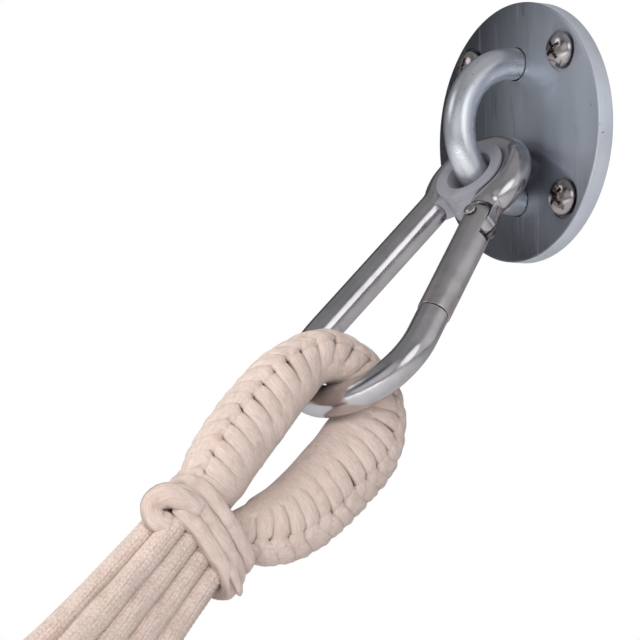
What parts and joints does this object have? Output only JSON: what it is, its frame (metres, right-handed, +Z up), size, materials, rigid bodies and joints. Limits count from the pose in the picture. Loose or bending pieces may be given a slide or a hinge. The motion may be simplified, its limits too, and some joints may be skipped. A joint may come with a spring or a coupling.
{
  "type": "hammock suspension end",
  "caption": "Wall suspension end of a rope hammock: round plate with a staple, a spring snap hook, and a wrapped rope eye from which clew cords fan out.",
  "frame": {"origin": "middle of the wall plate's back face, on the wall", "axes": "+Y into the wall, +Z up, +X to the right seen from the room"},
  "size_m": [0.082, 0.2193, 0.2413],
  "materials": {
    "plate": "satin zinc",
    "rod": "satin",
    "screw": "bright nickel",
    "hook": "polished",
    "gate": "satin",
    "thimble": "matt",
    "rope": "natural cotton"
  },
  "bodies": {
    "wall": {"wall_plate": "plate", "staple_eye": "rod", "screw_upper_left": "screw", "screw_upper_right": "screw", "screw_lower_left": "screw", "screw_lower_right": "screw"},
    "hook": {"hook_body": "hook", "hook_thimble": "thimble", "gate_rivet": "screw"},
    "gate": {"hook_gate": "gate", "gate_stop_pin": "screw", "gate_spring": "hook"},
    "sling": {"eye_core": "rope", "eye_wrap": "rope", "neck_seizing": "rope", "seizing_knot": "rope", "seizing_tail": "rope", "clew_cord_01": "rope", "clew_cord_02": "rope", "clew_cord_03": "rope", "clew_cord_04": "rope", "clew_cord_05": "rope", "clew_cord_06": "rope", "clew_cord_07": "rope", "clew_cord_08": "rope", "clew_cord_09": "rope", "clew_cord_10": "rope", "clew_cord_11": "rope", "clew_cord_12": "rope", "clew_cord_13": "rope", "cord_knot_01": "rope", "cord_knot_02": "rope", "cord_knot_03": "rope", "cord_knot_04": "rope", "cord_knot_05": "rope", "cord_knot_06": "rope", "cord_knot_07": "rope", "cord_knot_08": "rope", "cord_knot_09": "rope", "cord_knot_10": "rope", "cord_knot_11": "rope", "cord_knot_12": "rope", "cord_knot_13": "rope"}
  },
  "joints": [
    {"name": "hook_swing", "type": "hinge", "parent": "wall", "child": "hook", "pos_m": [0, -0.0071, 0], "axis": [1, 0, 0], "range_deg": [-108, 11]},
    {"name": "gate_open", "type": "hinge", "parent": "hook", "child": "gate", "pos_m": [0.0127, -0.03099, -0.03107], "axis": [-0.1513, 0.7528, -0.6407], "range_deg": [0, 18], "stiffness_Nm_per_rad": 0.05, "springref_deg": -28.65},
    {"name": "eye_swing", "type": "hinge", "parent": "hook", "child": "sling", "pos_m": [0, -0.08145, -0.08736], "axis": [0.9885, 0.1152, -0.098], "range_deg": [-30, 35]}
  ]
}
